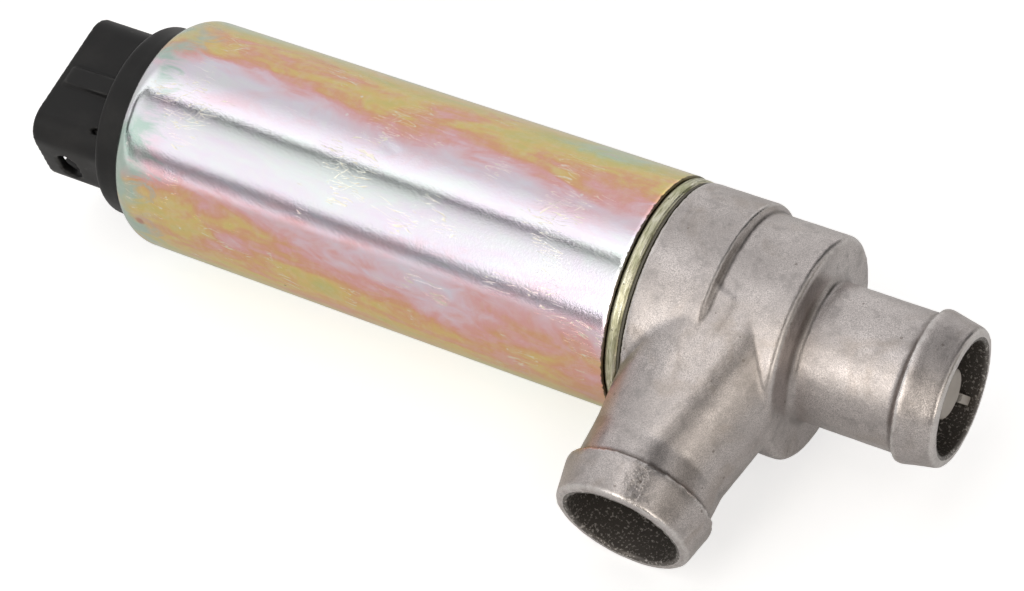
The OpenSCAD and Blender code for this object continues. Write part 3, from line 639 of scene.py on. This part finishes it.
class Neighbours:
    """Averages values over each vertex's neighbours."""

    def __init__(self, mesh):
        edges = np.empty(len(mesh.edges) * 2, dtype=np.int64)
        mesh.edges.foreach_get("vertices", edges)
        edges = edges.reshape(-1, 2)
        self.a = np.concatenate([edges[:, 0], edges[:, 1]])
        self.b = np.concatenate([edges[:, 1], edges[:, 0]])
        self.count = np.maximum(np.bincount(self.a, minlength=len(mesh.vertices)), 1)

    def mean(self, values):
        if values.ndim == 1:
            return np.bincount(self.a, values[self.b], minlength=len(self.count)) / self.count
        return np.stack([self.mean(values[:, k]) for k in range(values.shape[1])], axis=1)


def softened(name, cell, rounds):
    """A remeshed CAD node with its neighbours, and its points after some rounds of smoothing."""
    mesh = remeshed(name, cell)
    near = Neighbours(mesh)
    points = vertex_values(mesh, "co")
    for _round in range(rounds):
        points = points + 0.5 * (near.mean(points) - points)
    return mesh, near, points


def keep_attribute(mesh, name, values):
    layer = mesh.attributes.new(name, "FLOAT", "POINT")
    layer.data.foreach_set("value", np.clip(values, 0, 1).astype(np.float32))


def mark_bends(mesh, near, points, cell, spread, edges, corners):
    """Marks rubbed edges, and corners and recesses that get painted shade.

    The bend is how far each vertex stands out of its neighbours, in cells and blurred. Edges and
    corners each give the bend where the mark begins, and how fast it grows.
    """
    pull = near.mean(points) - points
    bend = -np.einsum("ij,ij->i", pull, vertex_values(mesh, "normal"))
    for _round in range(spread):
        bend = near.mean(bend)
    bend = bend / cell
    keep_attribute(mesh, "worn", (bend - edges[0]) * edges[1])
    # Corners and recesses carry painted shade.
    keep_attribute(mesh, "hollow", (-bend - corners[0]) * corners[1])


def rough_field(points, size, octaves=3, seed=0.0):
    """Fractal noise at each point, about zero, with features of the given size."""
    shift = Vector((seed, seed * 0.7, seed * 1.3))
    return np.array([noise.fractal(Vector(p) / size + shift, 0.9, 2.0, octaves) for p in points])


def lathe(profile, segments, change):
    """A closed ring of profile points (x, radius) turned about the valve's axis, then changed."""
    count = len(profile)
    xs, rs = (np.repeat(np.array(column)[:, None], segments, axis=1) for column in zip(*profile))
    turn = np.repeat(np.arange(segments)[None, :] * (2 * math.pi / segments), count, axis=0)
    xs, rs = change(xs, rs, turn)
    points = np.stack([xs, AXIS_Y + rs * np.cos(turn), AXIS_Z + rs * np.sin(turn)], axis=-1)
    faces = []
    for row in range(count):
        this, after = row * segments, (row + 1) % count * segments
        for k in range(segments):
            beside = (k + 1) % segments
            faces.append((this + k, this + beside, after + beside, after + k))
    mesh = bpy.data.meshes.new("lathe")
    mesh.from_pydata(points.reshape(-1, 3).tolist(), [], faces)
    return tidied(mesh, outward=True)


def can_profile(edge_round):
    """The can's section, outside from the open edge to the neck hole and back along the bore."""
    centre_x = CAN_REAR + CAN_SHOULDER
    centre_r = CAN_RADIUS - CAN_SHOULDER

    def arc(x, r, size, angles):
        return [(x + size * math.cos(angle), r + size * math.sin(angle)) for angle in angles]

    quarter = math.pi / 2
    profile = arc(CAN_EDGE - edge_round, CAN_RADIUS - edge_round, edge_round,
                  [quarter * k / 4 for k in range(5)])
    straight = CAN_EDGE - edge_round - centre_x
    rows = 130
    profile += [(CAN_EDGE - edge_round - straight * k / rows, CAN_RADIUS) for k in range(1, rows)]
    lip = 0.2 * MM
    reach = math.acos((CAN_HOLE_RADIUS + lip - centre_r) / CAN_SHOULDER)
    profile += arc(centre_x, centre_r, CAN_SHOULDER, [quarter + reach * k / 14 for k in range(15)])
    last_x = profile[-1][0]
    profile += [(last_x + 0.06 * MM, CAN_HOLE_RADIUS + 0.06 * MM), (last_x + lip, CAN_HOLE_RADIUS)]
    inner = CAN_SHOULDER - CAN_WALL
    reach = math.acos((CAN_HOLE_RADIUS - centre_r) / inner)
    profile += arc(centre_x, centre_r, inner, [quarter + reach * (1 - k / 8) for k in range(9)])
    bore = CAN_RADIUS - CAN_WALL
    return profile + [(CAN_EDGE - 0.1 * MM, bore), (CAN_EDGE, bore + 0.1 * MM)]


def can_wear(settings):
    """Unevenness of the drawn wall, a ragged open edge, and a few dings.

    Each ding is its place along X, its angle about the axis, its radius and its depth.
    """
    dings = [(-12.9 * MM, 104.5, 0.9 * MM, 0.05 * MM), (-11.7 * MM, 106, 0.7 * MM, 0.04 * MM),
             (12 * MM, 160, 1.2 * MM, 0.04 * MM), (-30 * MM, 190, 1.0 * MM, 0.05 * MM),
             (20 * MM, 300, 1.6 * MM, 0.07 * MM), (-41 * MM, 30, 1.4 * MM, 0.06 * MM),
             (5 * MM, 75, 0.9 * MM, 0.04 * MM)]

    def change(x, r, t):
        outer = r > CAN_RADIUS - 0.9 * MM
        flat = np.stack([x.ravel() * 45, np.cos(t.ravel()) * 1.1, np.sin(t.ravel()) * 1.1], axis=1)
        slow = rough_field(flat, 1.0, 2, 3.1).reshape(x.shape)
        depth = settings.ripple * (0.5 + 0.5 * np.clip(slow, -1, 1))
        for place, angle, size, deep in dings:
            arc = (np.degrees(t) - angle + 180) % 360 - 180
            distance = np.hypot(x - place, np.radians(arc) * CAN_RADIUS)
            depth = depth + deep * np.exp(-(distance / size) ** 2)
        r = np.where(outer, r - depth, r)
        edge = np.clip((x - (CAN_EDGE - 0.5 * MM)) / (0.5 * MM), 0, 1)
        ring = np.stack([np.cos(t.ravel()) * 9, np.sin(t.ravel()) * 9, 0 * t.ravel()], axis=1)
        ragged = rough_field(ring, 1.0, 3, 7.7).reshape(x.shape)
        x = x - edge * 0.07 * MM * (0.5 + 0.5 * np.clip(ragged, -1, 1))
        return x, r
    return change


class VALVE_OT_can(bpy.types.Operator):
    """Turns the deep-drawn can and gives it its iridescent film"""

    bl_idname = "valve.build_can"
    bl_label = "Build can"

    def execute(self, context):
        settings = context.scene.valve_can
        mesh = lathe(can_profile(settings.edge_round), 320, can_wear(settings))
        mesh.name = "can_shell"
        piece = add_object("can_shell", mesh, film_material(settings), BODY)
        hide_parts("solenoid_can")
        return {"FINISHED"}


def inside_ports(points):
    """One on the walls of the chamber and of both bores, zero outside, soft at the mouths."""
    from_axis = np.hypot(points[:, 1] - AXIS_Y, points[:, 2] - AXIS_Z)
    side = points - np.array([SIDE_X, AXIS_Y, AXIS_Z])
    along = side @ np.array(SIDE_DIRECTION)
    from_side = np.linalg.norm(side - along[:, None] * np.array(SIDE_DIRECTION), axis=1)

    def below(value, limit, soft):
        return np.clip((limit - value) / soft + 0.5, 0, 1)

    axial = below(from_axis, PORT_LIMIT, 0.5 * MM)
    port = below(from_side, PORT_LIMIT, 0.5 * MM) * (along > 0)
    chamber = below(from_axis, CHAMBER_LIMIT, 0.6 * MM) * (points[:, 0] < CHAMBER_END + 0.4 * MM)
    return np.maximum(np.maximum(axial, port), chamber)


def near_path(points, path, width):
    """One on a path through the given places, falling to zero within a few widths of it."""
    nearest = np.full(len(points), 1.0)
    for start, end in zip(path[:-1], path[1:]):
        start, end = np.array(start) * MM, np.array(end) * MM
        along = np.clip((points - start) @ (end - start) / np.dot(end - start, end - start), 0, 1)
        gap = points - start - along[:, None] * (end - start)
        nearest = np.minimum(nearest, np.linalg.norm(gap, axis=1))
    return np.exp(-(nearest / width) ** 2)


class VALVE_OT_casting(bpy.types.Operator):
    """Remeshes the elbow housing, softens its edges and gives it a blasted skin"""

    bl_idname = "valve.build_casting"
    bl_label = "Build casting"

    def execute(self, context):
        settings = context.scene.valve_casting
        mesh, near, points = softened("valve_housing", settings.cell, 1)
        put_points(mesh, points)
        mark_bends(mesh, near, points, settings.cell, 2, (0.02, 14), (0.015, 14))
        inside = inside_ports(points)
        scar = near_path(points, SCAR, 1.1 * MM)
        crease = near_path(points, CREASE, 0.4 * MM)
        y, z = points[:, 1] - AXIS_Y, points[:, 2] - AXIS_Z
        parting = y * -math.sin(LEAN) + z * math.cos(LEAN)
        flash = np.exp(-(parting / (0.3 * MM)) ** 2) * (1 - inside)
        relief = rough_field(points, 2.6 * MM, 4, 1.7)
        change = settings.relief * (relief - 0.6) + settings.flash * (flash - 1)
        change += scar * 0.12 * MM * (rough_field(points, 0.9 * MM, 3, 5.2) - 0.5)
        change -= 0.16 * MM * crease
        put_points(mesh, points + vertex_values(mesh, "normal") * change[:, None])
        keep_attribute(mesh, "inside", inside)
        keep_attribute(mesh, "scar", np.maximum(scar, crease))
        piece = add_object("cast_elbow", mesh, casting_material(settings), BODY)
        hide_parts("valve_housing")
        return {"FINISHED"}


class VALVE_OT_plug_cap(bpy.types.Operator):
    """Remeshes the plug cap with rounded edges and gives it a satin moulded skin"""

    bl_idname = "valve.build_plug_cap"
    bl_label = "Build plug cap"

    def execute(self, context):
        settings = context.scene.valve_mouldings
        mesh, near, points = softened("connector_cap", settings.cell, 2)
        put_points(mesh, points)
        # Corners marked here get painted shade in the moulding's finish.
        mark_bends(mesh, near, points, settings.cell, 1, (0.03, 12), (0.01, 14))
        material = moulded("black_moulding", settings.black, (0.04, 0.039, 0.038), 0.42,
                           wear=(0.06, 0.058, 0.056), shine=0.3)
        piece = add_object("plug_cap", mesh, material, BODY)
        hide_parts("connector_cap")
        return {"FINISHED"}


class VALVE_OT_bridge(bpy.types.Operator):
    """Remeshes the bridge in the axial mouth and crowns its hub"""

    bl_idname = "valve.build_bridge"
    bl_label = "Build port bridge"

    def execute(self, context):
        settings = context.scene.valve_mouldings
        mesh, near, points = softened("port_bridge", settings.bridge_cell, 2)
        radius = np.hypot(points[:, 1] - AXIS_Y, points[:, 2] - AXIS_Z)
        behind_face = points[:, 0].max() - points[:, 0]
        front = np.clip(1 - behind_face / (0.9 * MM), 0, 1) * (radius < HUB_RADIUS * 1.05)
        points[:, 0] -= front * settings.crown * (radius / HUB_RADIUS) ** 2
        put_points(mesh, points)
        mark_bends(mesh, near, points, settings.bridge_cell, 2, (0.02, 14), (0.02, 10))
        material = moulded("pale_moulding", (0.48, 0.445, 0.41), (0.27, 0.24, 0.21), 0.42, 2600.0,
                           0.012, wear=(0.6, 0.57, 0.53))
        piece = add_object("mouth_bridge", mesh, material, BODY)
        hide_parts("port_bridge")
        return {"FINISHED"}


def spring_tree(material):
    """A compression spring along X: closed end turns, live turns between them, a swept wire."""
    tree = bpy.data.node_groups.new("return_spring_path", "GeometryNodeTree")
    for label in ("Turns", "Mean radius", "Wire", "Rear", "Front"):
        tree.interface.new_socket(label, in_out="INPUT", socket_type="NodeSocketFloat")
    tree.interface.new_socket("Geometry", in_out="OUTPUT", socket_type="NodeSocketGeometry")
    g = Graph(tree)
    source = g.add("NodeGroupInput").outputs
    turns, radius, wire = source["Turns"], source["Mean radius"], source["Wire"]
    steps = 288
    line = g.add("GeometryNodeMeshLine", {"Count": steps + 1, "Offset": (1.0, 0, 0)}).outputs[0]
    path = g.add("GeometryNodeMeshToCurve", {"Mesh": line}).outputs[0]
    index = g.add("GeometryNodeInputIndex").outputs[0]
    turn = g.times(g.calc("DIVIDE", index, float(steps)), turns)
    live = g.minus(turns, 2.0)
    span = g.minus(g.minus(source["Front"], source["Rear"]), g.times(wire, 2.0))
    last = g.calc("MAXIMUM", g.minus(turn, g.minus(turns, 1.0)), 0.0)
    closed = g.plus(g.calc("MINIMUM", turn, 1.0), last)
    opened = g.calc("MINIMUM", g.calc("MAXIMUM", g.minus(turn, 1.0), 0.0), live)
    rise = g.plus(g.times(closed, wire), g.times(opened, g.calc("DIVIDE", span, live)))
    angle = g.times(turn, 2 * math.pi)
    place = g.join(g.plus(source["Rear"], rise), g.times(radius, g.calc("COSINE", angle)),
                   g.times(radius, g.calc("SINE", angle)))
    helix = g.add("GeometryNodeSetPosition", {"Geometry": path, "Position": place}).outputs[0]
    circle = g.add("GeometryNodeCurvePrimitiveCircle", {"Resolution": 14}).outputs[0]
    half = g.calc("DIVIDE", wire, 2.0)
    section = g.add("GeometryNodeTransform", {"Geometry": circle, "Scale": g.join(half, half, 1.0)})
    swept = g.add("GeometryNodeCurveToMesh", {"Curve": helix, "Profile Curve": section.outputs[0],
                                              "Fill Caps": True}).outputs[0]
    real = g.add("GeometryNodeRealizeInstances", {"Geometry": swept}).outputs[0]
    final = g.add("GeometryNodeSetMaterial", {"Geometry": real, "Material": material}).outputs[0]
    g.feed(g.add("NodeGroupOutput").inputs["Geometry"], final)
    return tree


class VALVE_OT_spring(bpy.types.Operator):
    """Winds the return spring that sits between the end plate and the poppet"""

    bl_idname = "valve.build_spring"
    bl_label = "Wind return spring"

    def execute(self, context):
        settings = context.scene.valve_spring
        low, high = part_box("return_spring")
        material = turned_metal("spring_wire", (0.36, 0.35, 0.34), (0.2, 0.17, 0.14), 0.34, 9000.0)
        tree = spring_tree(material)
        half = settings.wire / 2
        values = {"Turns": float(settings.turns), "Mean radius": settings.mean_radius,
                  "Wire": settings.wire, "Rear": low[0] + half, "Front": high[0] - half}

        def modifier(modifiers):
            winder = modifiers.new("spring", "NODES")
            winder.node_group = tree
            for item in tree.interface.items_tree:
                if item.name in values:
                    winder[item.identifier] = values[item.name]

        mesh = evaluated(bpy.data.meshes.new("helper"), modifier)
        mesh.transform(Matrix.Translation((0, AXIS_Y, AXIS_Z)) @ Matrix.Rotation(LEAN, 4, "X"))
        piece = add_object("wound_spring", tidied(mesh, 0.001 * MM, True), material, BODY)
        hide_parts("return_spring")
        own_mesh(piece)
        return {"FINISHED"}


class VALVE_OT_carried(bpy.types.Operator):
    """Gives every CAD piece that stays its own finish"""

    bl_idname = "valve.finish_carried"
    bl_label = "Finish carried pieces"

    def execute(self, context):
        finishes = {
            "rear_flux_plate pole_core armature":
                turned_metal("turned_steel", (0.46, 0.46, 0.47), (0.3, 0.27, 0.24), 0.3),
            "cap_seal poppet_seal":
                moulded("black_rubber", (0.018,) * 3, (0.05, 0.048, 0.045), 0.62, 1800.0, 0.02),
            "housing_gasket":
                moulded("gasket_paper", (0.12, 0.11, 0.085), (0.2, 0.19, 0.15), 0.6, 3000.0, 0.01),
            "guide_tube valve_seat":
                turned_metal("turned_brass", (0.72, 0.5, 0.2), (0.45, 0.28, 0.1), 0.27),
            "rear_bush front_bush":
                turned_metal("sintered_bronze", (0.5, 0.31, 0.15), (0.3, 0.18, 0.08), 0.42, 3000.0,
                             0.012),
            "terminal_blade_left terminal_blade_right":
                turned_metal("tinned_blade", (0.68, 0.66, 0.6), (0.5, 0.44, 0.32), 0.3),
            "coil_bobbin": moulded("natural_nylon", (0.66, 0.61, 0.5), (0.5, 0.44, 0.34), 0.45),
            "coil_tape":
                moulded("amber_tape", (0.55, 0.4, 0.1), (0.4, 0.27, 0.07), 0.25, 900.0, 0.006),
            "stop_washer": moulded("washer_plastic", (0.7, 0.68, 0.62), (0.5, 0.47, 0.4), 0.4),
            "valve_poppet":
                moulded("poppet_moulding", (0.035, 0.035, 0.038), (0.09, 0.085, 0.08), 0.4),
            "plunger_shaft":
                turned_metal("ground_shaft", (0.6, 0.6, 0.61), (0.42, 0.4, 0.38), 0.2, 9000.0,
                             0.003),
            "shaft_clip":
                turned_metal("clip_steel", (0.34, 0.34, 0.35), (0.2, 0.18, 0.16), 0.33, 7000.0),
            "coil_winding": winding_material(),
            "end_plate": end_plate_material()}
        for names, material in finishes.items():
            for name in names.split():
                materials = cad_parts[name].data.materials
                materials.clear()
                materials.append(material)
        return {"FINISHED"}


def studio_world(strength):
    """Soft studio light that changes with the direction about the valve's axis.

    A bright panel stands beside the valve, with a narrow dark gap above it and a dim band with a
    thin line below it. It is brighter and warmer towards the stubs and has a dark edge towards the
    plug. The rest goes by X alone: a dim gap over the stubs, a bright strip beside it, and a dim
    end past them. The camera sees plain white.
    """
    world = bpy.data.worlds.new("studio")
    world.use_nodes = True
    tree = world.node_tree
    tree.nodes.clear()
    g = Graph(tree)
    x, y, z = g.split(g.add("ShaderNodeTexCoord").outputs["Generated"])

    # The side panel's edges lean with X, so that they are mirrored as straight lines along the can.
    angle = g.calc("WRAP", g.calc("DEGREES", g.calc("ARCTAN2", z, y)), 270.0, -90.0)
    lean = g.plus(g.calc("MINIMUM", g.calc("MAXIMUM", x, -0.62), -0.2), 0.45)
    top_edge = g.plus(106.0, g.times(lean, 40.0))
    low_edge = g.plus(170.0, g.times(lean, 55.0))
    across = g.calc("DIVIDE", g.minus(angle, top_edge), g.minus(low_edge, top_edge))
    low, high = -0.5, 1.5

    def at(place):
        return (place - low) / (high - low)

    def between(rise_from, rise_to, fall_from, fall_to):
        return g.times(g.step(x, rise_from, rise_to), g.step(x, fall_from, fall_to, 1.0, 0.0))

    def changed(level, where, factor):
        return g.times(level, g.step(where, 0.0, 1.0, 1.0, factor))

    share = g.add("ShaderNodeMapRange", {"Value": across, "From Min": low, "From Max": high})
    level = g.ramp(share.outputs[0], [
        (0.0, 0.68), (at(-0.2), 1.1), (at(-0.012), 1.22), (at(0.0), 0.015), (at(0.04), 0.02),
        (at(0.055), 0.30), (at(0.10), 0.46), (at(0.17), 0.70), (at(0.28), 0.88), (at(0.45), 1.0),
        (at(0.85), 1.06), (at(0.87), 0.16), (at(0.945), 0.2), (at(0.965), 0.42), (at(1.035), 0.46),
        (at(1.042), 0.08), (at(1.056), 0.08), (at(1.064), 0.95), (1.0, 0.95)])
    beside = g.times(g.step(across, -0.12, 0.0), g.step(across, 1.0, 1.12, 1.0, 0.0))
    level = changed(level, g.times(beside, g.step(x, -0.46, -0.16)), 2.1)
    level = changed(level, g.times(beside, between(-0.995, -0.96, -0.92, -0.85)), 0.2)
    level = changed(level, between(-0.04, 0.12, 0.38, 0.56), 0.05)
    level = changed(level, between(-0.36, -0.22, -0.1, 0.02), 1.5)
    level = g.times(level, g.step(x, 0.66, 0.82, 1.0, 0.35))
    warm = g.calc("MAXIMUM", g.step(x, 0.5, 0.8), g.times(beside, g.step(x, -0.34, -0.16)))
    tint = g.mix(warm, (1.0, 0.985, 0.975), (1.0, 0.94, 0.86))
    light = g.add("ShaderNodeBackground", {"Color": tint, "Strength": g.times(level, strength)})
    white = g.add("ShaderNodeBackground", {"Color": (1, 1, 1, 1), "Strength": 1.0})
    seen = g.add("ShaderNodeLightPath").outputs["Is Camera Ray"]
    both = g.add("ShaderNodeMixShader")
    for socket, value in zip(both.inputs, (seen, light.outputs[0], white.outputs[0])):
        tree.links.new(value, socket)
    out = g.add("ShaderNodeOutputWorld")
    tree.links.new(both.outputs[0], out.inputs["Surface"])
    return world


def floor_material(colour, lift):
    """White paper that glows a little for the camera, and less for what mirrors it."""
    material, g, shader, place = new_material("floor_paper")
    grain = g.noise(place, 300.0, 2.0)
    g.feed(shader["Base Color"], g.mix(g.step(grain, 0.3, 0.7, 0.0, 0.02), colour, (0.6, 0.6, 0.6)))
    shader["Roughness"].default_value = 0.9
    shader["Specular IOR Level"].default_value = 0.1
    shader["Emission Color"].default_value = (1, 1, 1, 1)
    ray = g.add("ShaderNodeLightPath").outputs
    seen = g.plus(ray["Is Camera Ray"], g.times(ray["Is Glossy Ray"], 0.22))
    g.feed(shader["Emission Strength"], g.times(seen, lift))
    return material


class VALVE_OT_stage(bpy.types.Operator):
    """Sets up the floor, the soft light and the camera"""

    bl_idname = "valve.set_stage"
    bl_label = "Set stage"

    def execute(self, context):
        scene = context.scene
        settings = scene.valve_stage
        scene.view_settings.view_transform = "Standard"
        scene.world = studio_world(settings.box_light)
        mesh = bpy.data.meshes.new("floor")
        half = 3.0
        drop = -0.02 * MM
        corners = [(-half, -half), (half, -half), (half, half), (-half, half)]
        mesh.from_pydata([(x, y, drop) for x, y in corners], [], [(0, 1, 2, 3)])
        mesh.materials.append(floor_material(settings.floor_colour, settings.floor_lift))
        floor = bpy.data.objects.new("floor", mesh)
        scene.collection.objects.link(floor)

        lens = bpy.data.cameras.new("camera")
        lens.sensor_width = 36.0
        lens.lens = settings.lens
        lens.clip_start = 0.01
        camera = bpy.data.objects.new("camera", lens)
        forward = Vector(CAMERA_FORWARD).normalized()
        up = Vector(CAMERA_RIGHT).cross(forward).normalized()
        right = forward.cross(up).normalized()
        turn = Matrix((right, up, -forward)).transposed()
        camera.matrix_world = Matrix.Translation(CAMERA_PLACE) @ turn.to_4x4()
        scene.collection.objects.link(camera)
        scene.camera = camera
        return {"FINISHED"}


STEPS = (VALVE_OT_stage, VALVE_OT_can, VALVE_OT_casting, VALVE_OT_plug_cap, VALVE_OT_bridge,
         VALVE_OT_spring, VALVE_OT_carried)
SETTINGS = {"valve_stage": StageSettings, "valve_can": CanSettings,
            "valve_casting": CastingSettings, "valve_mouldings": MouldingSettings,
            "valve_spring": SpringSettings}


class VALVE_PT_panel(bpy.types.Panel):
    """Lists the valve's settings and the steps that build it"""

    bl_idname = "VALVE_PT_panel"
    bl_label = "Idle control valve"
    bl_space_type = "VIEW_3D"
    bl_region_type = "UI"
    bl_category = "Idle valve"

    def draw(self, context):
        layout = self.layout
        for name, settings in SETTINGS.items():
            box = layout.box()
            group_settings = getattr(context.scene, name)
            for label in settings.__annotations__:
                box.prop(group_settings, label)
        for step in STEPS:
            layout.operator(step.bl_idname)


def register():
    for name, settings in SETTINGS.items():
        bpy.utils.register_class(settings)
        setattr(bpy.types.Scene, name, bpy.props.PointerProperty(type=settings))
    for step in STEPS:
        bpy.utils.register_class(step)
    bpy.utils.register_class(VALVE_PT_panel)


def unregister():
    bpy.utils.unregister_class(VALVE_PT_panel)
    for step in reversed(STEPS):
        bpy.utils.unregister_class(step)
    for name, settings in reversed(list(SETTINGS.items())):
        delattr(bpy.types.Scene, name)
        bpy.utils.unregister_class(settings)


def main():
    register()
    for step in STEPS:
        getattr(bpy.ops.valve, step.bl_idname.split(".")[1])()


if __name__ == "__main__":
    main()
